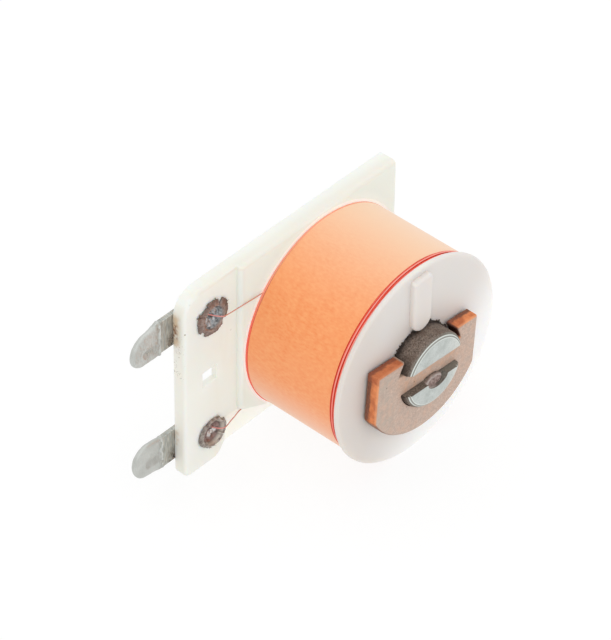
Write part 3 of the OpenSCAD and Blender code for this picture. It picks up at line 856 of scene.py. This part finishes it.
wrap_points = []
for turn in range(0, 360 + lap_turn + 1, wrap_step):
    a = math.radians(lap_start + turn)
    r = sheet_middle + limited((turn - 350) / 10) * paper_thickness
    wrap_points.append((r * math.cos(a), r * math.sin(a), paper_rear))
paper_wrap = trace("paper_wrap", wrap_points)
for row in range(paper_rows):
    bpy.ops.mesh.extrude_region_move(TRANSFORM_OT_translate={"value": (0, 0, row_step)})
bpy.ops.mesh.select_all(action="SELECT")
bpy.ops.mesh.normals_make_consistent(inside=False)
bpy.ops.object.mode_set(mode="OBJECT")
for v in paper_wrap.data.vertices:
    a = math.atan2(v.co.y, v.co.x)
    share = (v.co.z - paper_rear) / (paper_front - paper_rear)
    uneven = 0.07 * noise.noise(Vector((2.2 * math.cos(a), 2.2 * math.sin(a), 3)))
    tuck = 0.22 * max(0, math.cos(a - math.radians(235))) + 0.16 * max(0, math.cos(a - math.radians(80)))
    v.co.z += (uneven - tuck) * (1 - share) + (paper_edge(a) - paper_front) * share
modify(paper_wrap, "SOLIDIFY", thickness=paper_thickness * 0.9, offset=0)
soften(paper_wrap, 0.04, 1, 50)

paper = Finish("orange_paper", Roughness=0.7, IOR=1.45, Sheen_Weight=0.5, Sheen_Roughness=0.45)
right, up = paper.right, paper.up
fibres = paper.patches(0.35, 0.3, 0.7, 5.0, stretch=(1, 0.45, 1))
colour = paper.tint((250, 148, 84), (255, 171, 110), fibres)
colour = paper.tint(colour, (255, 168, 110), paper.patches(5.0, 0.4, 0.75, 4.0, (1, 2, 3)), 0.4)
colour = paper.tint(colour, (240, 138, 74), paper.patches(0.3, 0.64, 0.74, 2.0, (5, 5, 1)), 0.35)
# Painted sheen: the paper grows pale towards its upper right, and less so towards its bottom.
sheen_way = paper.maths("MULTIPLY_ADD", right, 0.03, paper.product(up, 0.051))
painted_sheen = paper.maths("POWER", paper.most(sheen_way, 0.0), 2.6)
colour = paper.tint(colour, (252, 211, 174), painted_sheen, 0.97)
colour = paper.tint(colour, (250, 206, 178), paper.ramp(up, 1.5, -12), 0.6)
bounced = paper.add("LightPath", {}).outputs["Is Diffuse Ray"]
colour = paper.tint(colour, (250, 240, 230), bounced, 0.8)
paper.feed("Base Color", colour)
paper.roughen(fibres, 0.00004, 0.3)
fit_to_frame(paper_wrap, "paper_wrap", paper, 50)

# Leads: the two ends of the same red wire. The inner end comes out along a groove behind the winding
# to the lower eyelet, and the outer end runs off the last turn to the upper eyelet.
lead_thickness = 0.56 * wire
last_turn_r = winding_r + wire / 2
on_last_turn = [math.radians(a) for a in range(112, 141, 7)]
finish_points = [(last_turn_r * math.cos(a), last_turn_r * math.sin(a), plate_front + 0.3)
                 for a in on_last_turn]
finish_points += [
    (-14.6, 10.76, 3.45), (-16.3, 10.88, 3.45), (-18.4, 11.0, 3.4), (-21.0, 10.96, 3.16),
    (-21.5, 11.06, 3.16), (-22.2, 11.28, 2.8), (-23.95, 12.23, 1.7),
]
start_points = [
    (-5.3, -5.7, 3.05), (-6.1, -6.5, 2.75), (-11.32, -12.14, 2.7), (-12.35, -12.8, 2.2),
    (-14.0, -12.05, 2.06), (-16.0, -11.15, 2.3), (-17.5, -10.8, 2.46), (-19.0, -11.0, 2.72),
    (-20.2, -11.06, 2.95), (-21.1, -11.13, 3.16), (-21.5, -11.16, 3.16), (-22.1, -11.18, 2.75),
    (-22.8, -11.1, 1.7),
]
for name, points in (("finish_lead", finish_points), ("start_lead", start_points)):
    fit_to_frame(wire_along(name, points, lead_thickness), name, enamel, 60)

# Lugs: flat terminals stamped from brass strip, with an eye for the eyelet and an oval hole for the wire.
# They lie on the rear of the tongue, and the bare part between the tongue and the tin is stained.
lug_left = reach("upper_lug")[0]
lug_half = 2.95
lug_thickness = 0.8
lug_eye_r = 3.25
lug_tip_r = 1.9
lug_neck = tongue_left - 3.2
lug_eye_left = eyelet_x - 1.37
wire_hole_r = 1.1


def rounded_bar(middle, half, r):
    """Outline of a bar with round ends."""
    x, y = middle
    return arc((x + half, y), r, -90, 90, 14) + arc((x - half, y), r, 90, 270, 14)


lug_metal = Finish("lug_metal", Metallic=0.6)
right, up = lug_metal.right, lug_metal.up
grime = lug_metal.patches(0.6, 0.35, 0.65, 4.0, stretch=(2.5, 1, 0.35))
colour = lug_metal.tint((160, 166, 164), (204, 201, 190), grime)
stain = lug_metal.patches(0.5, 0.5, 0.62, 3.0, (6, 2, 5), (3, 1, 0.3))
colour = lug_metal.tint(colour, (138, 128, 112), stain, 0.55)
to_upper_lug = lug_metal.product(lug_metal.ramp(up, 2, -2), 2 * eyelet_y)
up_as_upper = lug_metal.maths("ADD", up, to_upper_lug)
low_edge = lug_metal.ramp(up_as_upper, eyelet_y + 0.6, eyelet_y - 2.4)
at_root = lug_metal.ramp(right, tongue_left - 2.2, tongue_left - 0.5)
browned = lug_metal.patches(0.6, 0.3, 0.55, 4.0, (4, 4, 4))
colour = lug_metal.tint(colour, (124, 106, 90), at_root, browned, low_edge, 0.8)
by_tongue = lug_metal.ramp(right, tongue_left - 1.6, tongue_left - 0.3)
blackened = lug_metal.patches(0.4, 0.5, 0.58, 2.0, (8, 0, 4))
colour = lug_metal.tint(colour, (58, 50, 45), by_tongue, blackened, low_edge)
lug_metal.feed("Base Color", colour)
lug_metal.feed("Roughness", lug_metal.span(grime, 0.38, 0.58))
lug_metal.roughen(grime, 0.00005, 0.4)
for name, side in (("upper_lug", 1), ("lower_lug", -1)):
    y = side * eyelet_y
    lug = prism(
        name,
        arc((lug_left + 3.1, y - 0.4), lug_tip_r, 90, 270, 24)
        + [(lug_neck, y - lug_half), (lug_eye_left, y - lug_half)]
        + arc((eyelet_x, y), lug_eye_r, -115, 115, 36)
        + [(lug_eye_left, y + lug_half), (lug_neck, y + lug_half)],
        -lug_thickness, 0)
    cut(lug, prism("eye", arc((eyelet_x, y), hole_r, 0, 350, 35), -2, 1))
    cut(lug, prism("wire_hole", rounded_bar((lug_left + 3.9, y), wire_hole_r, wire_hole_r), -2, 1))
    soften(lug, 0.08, 2)
    fit_to_frame(lug, name, lug_metal)

# Tinning: the outer end of each lug was dipped in solder, which set as a soft grey cushion.
# It drew thin in the middle of the wire hole and left a ridge and runs along the dip line.
tin_near = tongue_left - 2.2
tin_left = reach("upper_lug_tinning")[0]
tin_half = 3.15
tin_front = 0.2
tin_rear = -1.0
tin_middle = (tin_front + tin_rear) / 2
tin_soft = 0.5
tin_cell = 0.08
upper_tip = (oval((tin_left + 3.6, eyelet_y - 0.9), 3.4, 3.3, 90, 180)
             + oval((tin_left + 2.5, eyelet_y - 0.9), 2.3, 2.35, 180, 270)[1:])
lower_tip = (oval((tin_left + 3.2, 0.5 - eyelet_y), 3.1, 2.95, 90, 180)
             + oval((tin_left + 2.6, 0.5 - eyelet_y), 2.5, 3.1, 180, 270)[1:])
upper_run = [(-0.9, -3.3), (-0.4, -3.5), (-0.05, -3.3)]
lower_run = [(-0.9, -2.95), (-0.3, -3.25), (0, -3.15)]


def hump(away, width):
    """The height of a round hump of height 1 at a distance from its middle."""
    return math.exp(-(away / width) ** 2)


tin_coat = Finish("solder", Metallic=0.55)
right = tin_coat.right
cloud = tin_coat.patches(1.5, 0.3, 0.7, 4.0, stretch=(0.6, 1, 1))
colour = tin_coat.tint((188, 190, 185), (206, 208, 204), cloud)
streak = tin_coat.patches(0.4, 0.35, 0.65, 3.0, (2, 0, 0), (2.4, 1, 0.4))
streak_strength = tin_coat.span(tin_coat.ramp(right, tin_near - 2.4, tin_near - 0.6), 0.12, 0.57)
colour = tin_coat.tint(colour, (156, 158, 153), streak, streak_strength)
wander = tin_coat.maths("MULTIPLY_ADD", tin_coat.patches(1.2, 0.2, 0.8, 3.0, (0, 0, 3)), 0.7, right)
dip_line = tin_coat.product(tin_coat.band(wander, tin_near - 0.05, 0.08, 0.16),
                            tin_coat.patches(0.9, 0.35, 0.6, 2.0, (3, 0, 3)))
colour = tin_coat.tint(colour, (228, 230, 225), dip_line, 0.5)
drawn_in = tin_coat.spots((-34.4, 10.3, 0.1, 1.3), (-33.1, 10.1, 0.1, 1.3),
                          (-34.6, -11.55, 0.1, 1.3), (-33.2, -11.7, 0.1, 1.3))
colour = tin_coat.tint(colour, (158, 155, 148), drawn_in, 0.45)
tin_coat.feed("Base Color", colour)
tin_coat.feed("Roughness", tin_coat.span(cloud, 0.36, 0.52))
tin_coat.roughen(streak, 0.00005, 0.25)
for name, side, tip, run, hole_drop in (("upper_lug_tinning", 1, upper_tip, upper_run, 1.15),
                                        ("lower_lug_tinning", -1, lower_tip, lower_run, 0.2)):
    y = side * eyelet_y
    outline = [(tin_near, y + tin_half - 0.05), (tin_near - 0.6, y + tin_half)] + tip
    tin = prism(name, outline + [(tin_near + dx, y + dy) for dx, dy in run], tin_rear, tin_front)
    soften(tin, tin_soft, 4)
    modify(tin, "REMESH", mode="VOXEL", voxel_size=tin_cell)
    modify(tin, "SMOOTH", factor=0.5, iterations=14)
    hole_x, hole_y = lug_left + 3.65, y - hole_drop
    for v in tin.data.vertices:
        front = 1 if v.co.z > tin_middle else -1
        out = abs((v.co.z - tin_middle) / (tin_front - tin_middle))
        at = Vector((v.co.x * 0.9, v.co.y * 0.9, side * 3 + front))
        from_hole = math.hypot(max(0, abs(v.co.x - hole_x) - 0.7), (v.co.y - hole_y) * 1.1)
        dimple = 0.11 * hump(from_hole - 0.95, 0.2) - 0.14 * hump(from_hole, 0.6)
        from_dip = v.co.x - tin_near + 0.35 + 0.8 * noise.noise(Vector((v.co.y * 0.8, side * 2, 1)))
        ripple = 0.5 + noise.noise(Vector((v.co.y * 0.9, side, 7)))
        ridge = 0.1 * hump(from_dip, 0.16) - 0.08 * hump(from_dip + 0.45, 0.25)
        ridge += 0.07 * hump(from_dip + 1.05, 0.2) * ripple
        lumps = 0.06 * noise.noise(at * 1.6) + 0.03 * noise.noise(at * 4)
        v.co.z = min(tin_front, max(tin_rear, v.co.z + front * out * (dimple + ridge + lumps - 0.12)))
    fit_to_frame(tin, name, tin_coat, 60)

# Eyelets: tubes of brass set through tongue and lug. The rear end is rolled over the lug, and the front
# end has split into petals that lie on the tongue, brown with age and ragged where they tore.
tube_wall = 0.2
eyelet_steps = 240
eyelet_profile = [
    (2.72, -0.94), (2.5, -1.06), (2.2, -1.1), (1.9, -1.0), (1.74, -0.7), (1.74, 0.6),
    (1.76, 1.4), (1.82, 1.9), (1.92, 2.3), (2.04, 2.52), (2.2, 2.6), (2.45, 2.58),
    (2.75, 2.52), (3.05, 2.47), (3.3, 2.44), (3.55, 2.42),
]
petal_base = 2.12
petal_end = eyelet_profile[-1][0]
bowl_shift = 0.4
# Each petal: the angles where it starts and ends, then how far it reaches there from the eyelet's middle
upper_petals = [
    (22, 50, 3.55, 3.57), (63, 87, 3.2, 3.28), (89, 109, 3.25, 3.3), (110, 136, 2.95, 2.8),
    (137, 141, 3.4, 3.4), (142, 146, 3.1, 3.1), (147, 150, 3.62, 3.6), (151, 178, 3.15, 2.92),
    (178, 209, 2.88, 2.95), (236, 262, 3.0, 2.97), (262, 316, 2.97, 3.26), (332, 377, 3.25, 3.5),
]
lower_petals = [
    (56, 120, 2.8, 2.75), (122, 190, 2.95, 2.95), (190, 228, 2.9, 2.5), (230, 318, 2.45, 2.4),
    (325, 352, 2.5, 2.85), (352, 388, 2.85, 2.6), (389, 392, 2.87, 2.87),
]


def petal_reach(petals, angle, gap):
    """How far the petal at an angle reaches from the eyelet's middle, or the depth of the gap there."""
    for start, end, first, last in petals:
        for whole in (angle, angle + 360):
            if start <= whole <= end:
                return first + (last - first) * (whole - start) / (end - start)
    return gap


brass = Finish("eyelet_brass", Metallic=0.4)
right, up, depth = brass.right, brass.up, brass.depth
in_lower = brass.ramp(up, 2, -2)
tarnish = brass.patches(0.4, 0.3, 0.7, 4.0)
upper_colour = brass.tint((112, 98, 92), (172, 156, 148), tarnish)
upper_colour = brass.tint(upper_colour, (150, 112, 98), brass.patches(1.5, 0.45, 0.6, 3.0, (5, 2, 2)), 0.35)
lower_colour = brass.tint((118, 106, 99), (198, 190, 181), tarnish)
colour = brass.tint(upper_colour, lower_colour, in_lower)
rim_light = brass.product(brass.ramp(depth, 2.62, 2.76), brass.patches(0.8, 0.3, 0.6, 3.0, (1, 4, 1)))
colour = brass.tint(colour, (190, 176, 166), rim_light, 0.5)
beside = brass.maths("SUBTRACT", right, eyelet_x + 0.2)
above = brass.maths("SUBTRACT", brass.maths("ABSOLUTE", up), eyelet_y)
from_axis = brass.maths("SQRT", brass.maths("MULTIPLY_ADD", beside, beside, brass.product(above, above)))
# Painted shade on the petals' outer parts, where they lie down on the tongue.
outer_edge_shade = brass.product(brass.ramp(from_axis, 2.35, 3.0), brass.ramp(depth, tongue_front, tongue_front + 0.05))
colour = brass.tint(colour, (92, 80, 74), outer_edge_shade, 0.45)
inside = brass.product(brass.ramp(depth, 2.56, 2.4), brass.ramp(depth, 0.4, 0.6),
                       brass.ramp(from_axis, 2.6, 2.4))
upper_wall = brass.tint((104, 106, 108), (204, 206, 206), brass.patches(0.6, 0.35, 0.65, 4.0, (2, 7, 1)))
# Painted shade: the lower tube's wall darkens further down.
lower_wall = brass.tint((196, 187, 176), (120, 104, 98), brass.ramp(depth, 2.4, 1.8))
colour = brass.tint(colour, brass.tint(upper_wall, lower_wall, in_lower), inside)
brass.feed("Base Color", colour)
brass.feed("Roughness", brass.span(tarnish, 0.4, 0.6))
brass.roughen(tarnish, 0.00005, 0.5)
for name, side, petals, gap, flare, rag in (("upper_eyelet", 1, upper_petals, 2.45, 0, 0.2),
                                            ("lower_eyelet", -1, lower_petals, 2.3, 0.3, 0.1)):
    y = side * eyelet_y
    shift = bowl_shift - 0.4 * flare
    eyelet = turned(name, eyelet_profile, eyelet_steps, (eyelet_x, y))
    for v in eyelet.data.vertices:
        dx, dy = v.co.x - eyelet_x, v.co.y - y
        r = math.hypot(dx, dy)
        angle = math.degrees(math.atan2(dy, dx)) % 360
        on_tongue = v.co.z > tongue_front
        lean = limited((v.co.z - 1.7) / 0.8)
        share = max(0, (r - petal_base) / (petal_end - petal_base)) if on_tongue else 0
        base_r = min(r, petal_base) if on_tongue else r
        tip = petal_reach(petals, angle, gap)
        spread = flare if tip > gap else 0
        base_r += spread * limited((v.co.z - 1.5) / 0.8)
        tip += rag * noise.noise(Vector((angle * 0.35, side * 5, 2)))
        tip = max(tip, petal_base + spread + shift * dx / r + 0.1)
        v.co.x = eyelet_x + (shift * lean + dx / r * base_r) * (1 - share) + dx / r * tip * share
        v.co.y = y + dy / r * (base_r * (1 - share) + tip * share)
        if on_tongue:
            curl = 0.16 * noise.noise(Vector((angle * 0.05, side * 9, 1))) * share
            crease = 0.09 * noise.noise(Vector((dx * 3, dy * 3, side)))
            v.co.z = max(tongue_front + 0.12, v.co.z + curl + crease)
    modify(eyelet, "SOLIDIFY", thickness=tube_wall, offset=0)
    soften(eyelet, 0.04, 1, 50)
    fit_to_frame(eyelet, name, brass, 40)

# Solder in the eyelets: a crumpled pool of soft solder that fills each tube from the lug's side.
# It was run in hot round the end of the wire, which it grips, and it set with a hollow top.
pool_foot_r = 1.62
pool_rings = 16
bore_solder = Finish("bore_solder", Metallic=0.6)
up, depth = bore_solder.up, bore_solder.depth
crumple = bore_solder.patches(0.6, 0.32, 0.66, 4.0)
upper_colour = bore_solder.tint((106, 110, 114), (204, 208, 210), crumple)
# Painted shade in the hollow under the lead in the upper pool.
shade_under_lead = bore_solder.spots((eyelet_x + 0.7, eyelet_y - 0.3, 1.7, 0.6),
                               (eyelet_x + 0.2, eyelet_y + 0.1, 1.7, 0.45),
                               (eyelet_x + 1.4, eyelet_y - 0.9, 1.8, 0.4))
upper_colour = bore_solder.tint(upper_colour, (54, 50, 46), shade_under_lead, 0.85)
lower_colour = bore_solder.tint((112, 92, 88), (152, 128, 122), crumple)
# Painted shade in hollows of the lower pool.
hollow_shade = bore_solder.spots((eyelet_x + 1.3, -eyelet_y - 0.9, 1.8, 0.4),
                            (eyelet_x + 0.2, 0.1 - eyelet_y, 1.7, 0.4))
lower_colour = bore_solder.tint(lower_colour, (66, 62, 62), hollow_shade, 0.8)
glint = bore_solder.spots((eyelet_x, -eyelet_y - 0.75, 1.6, 0.6),
                          (eyelet_x + 0.5, -eyelet_y - 0.55, 1.6, 0.65),
                          (eyelet_x + 1.0, -eyelet_y - 0.35, 1.7, 0.55))
broken_up = bore_solder.patches(0.35, 0.38, 0.52, 3.0, (4, 4, 4), (1.5, 1, 0.7))
lower_colour = bore_solder.tint(lower_colour, (224, 224, 222), glint, broken_up, 0.85)
in_lower = bore_solder.product(bore_solder.ramp(up, 2, -2), bore_solder.ramp(depth, 0, 1))
colour = bore_solder.tint(upper_colour, lower_colour, in_lower)
bore_solder.feed("Base Color", colour)
bore_solder.feed("Roughness", bore_solder.span(crumple, 0.22, 0.42))
bore_solder.roughen(crumple, 0.00008, 0.6)
for name, side, level, pool_r in (("upper_eyelet_solder", 1, 1.65, 1.72),
                                  ("lower_eyelet_solder", -1, 1.6, 1.82)):
    y = side * eyelet_y
    pool_side = [(0, -1.0), (1.5, -1.0), (pool_foot_r, -0.8), (pool_foot_r, 1.3), (pool_r, level)]
    pool_top = [(pool_r * (1 - k / pool_rings), level) for k in range(1, pool_rings + 1)]
    pool = turned(name, pool_side + pool_top, 96, (eyelet_x, y))
    for v in pool.data.vertices:
        if v.co.z > level - MERGE:
            r = math.hypot(v.co.x - eyelet_x, v.co.y - y) / pool_r
            at = Vector((v.co.x, v.co.y, side))
            waves = 0.3 * noise.noise(at * 1.5) * (1 - r ** 4) + 0.14 * noise.noise(at * 4) * (1 - r ** 6)
            v.co.z += 0.45 * r ** 3 + waves
    fit_to_frame(pool, name, bore_solder, 60)

# Studio: a plain pale floor in a white light tent, with a soft lamp above and one beside the camera.
# Floor and tent look white to the camera and in metal, and light the coil a little less than they look.
bpy.ops.object.select_all(action="DESELECT")
bpy.ops.mesh.primitive_plane_add(size=6, location=(0, 0, flange_bottom / MM))
floor = bpy.context.object
floor.name = "floor"


def seen_ray(mixer):
    """1 for what the camera sees, also in metal and through glass, and 0 for light off dull faces."""
    rays = mixer.add("LightPath", {}).outputs
    return mixer.most(rays["Is Camera Ray"], rays["Is Glossy Ray"], rays["Is Transmission Ray"])


floor_paint = bpy.data.materials.new("floor_paint")
floor_paint.use_nodes = True
mixer = Mixer(floor_paint.node_tree)
shader = mixer.tree.nodes["Principled BSDF"]
shader.inputs["Base Color"].default_value = paint(244, 244, 243)
shader.inputs["Roughness"].default_value = 0.9
shader.inputs["Specular IOR Level"].default_value = 0.0
seen = seen_ray(mixer)
glow = mixer.add("Emission", {"Color": (1, 1, 1, 1), "Strength": 1.04})
coords = mixer.add("TexCoord", {})
from_coil = mixer.add("VectorMath", {0: coords.outputs["Object"]}, operation="LENGTH").outputs["Value"]
shown = mixer.product(seen, mixer.span(mixer.ramp(from_coil, 0.06, 0.2), 0.8, 1.0))
glow_share = mixer.maths("ADD", shown, mixer.span(seen, 0.5, 0.0))
backdrop = mixer.add("MixShader", {0: glow_share, 1: shader.outputs[0], 2: glow.outputs[0]})
mixer.tree.links.new(backdrop.outputs[0], mixer.tree.nodes["Material Output"].inputs["Surface"])
floor.data.materials.append(floor_paint)

world = bpy.data.worlds.new("surround")
bpy.context.scene.world = world
world.use_nodes = True
mixer = Mixer(world.node_tree)
tent = mixer.tree.nodes["Background"]
tent.inputs["Color"].default_value = (1, 1, 1, 1)
mixer.tree.links.new(mixer.span(seen_ray(mixer), 0.86, 1.0), tent.inputs["Strength"])


def soft_lamp(name, place, size, watts):
    """A square lamp that faces the coil."""
    light = bpy.data.lights.new(name, "AREA")
    light.size = size
    light.energy = watts
    lamp = bpy.data.objects.new(name, light)
    bpy.context.collection.objects.link(lamp)
    lamp.location = place
    lamp.rotation_euler = (-Vector(place)).to_track_quat("-Z", "Y").to_euler()


soft_lamp("top_lamp", (0.1, 0.05, 0.7), 0.6, 0.6)
soft_lamp("camera_lamp", (-0.45, -0.5, 0.5), 0.6, 0.6)

camera_data = bpy.data.cameras.new("camera")
camera_data.sensor_fit = "AUTO"
camera_data.sensor_width = 36
camera_data.lens = 233.36
camera_data.clip_start = 0.01
camera = bpy.data.objects.new("camera", camera_data)
bpy.context.collection.objects.link(camera)
camera.location = (-0.35164, -0.31621, 0.41232)
camera.rotation_euler = [math.radians(a) for a in (48.538, -0.531, -47.550)]
bpy.context.scene.camera = camera
bpy.context.scene.view_settings.view_transform = "Standard"
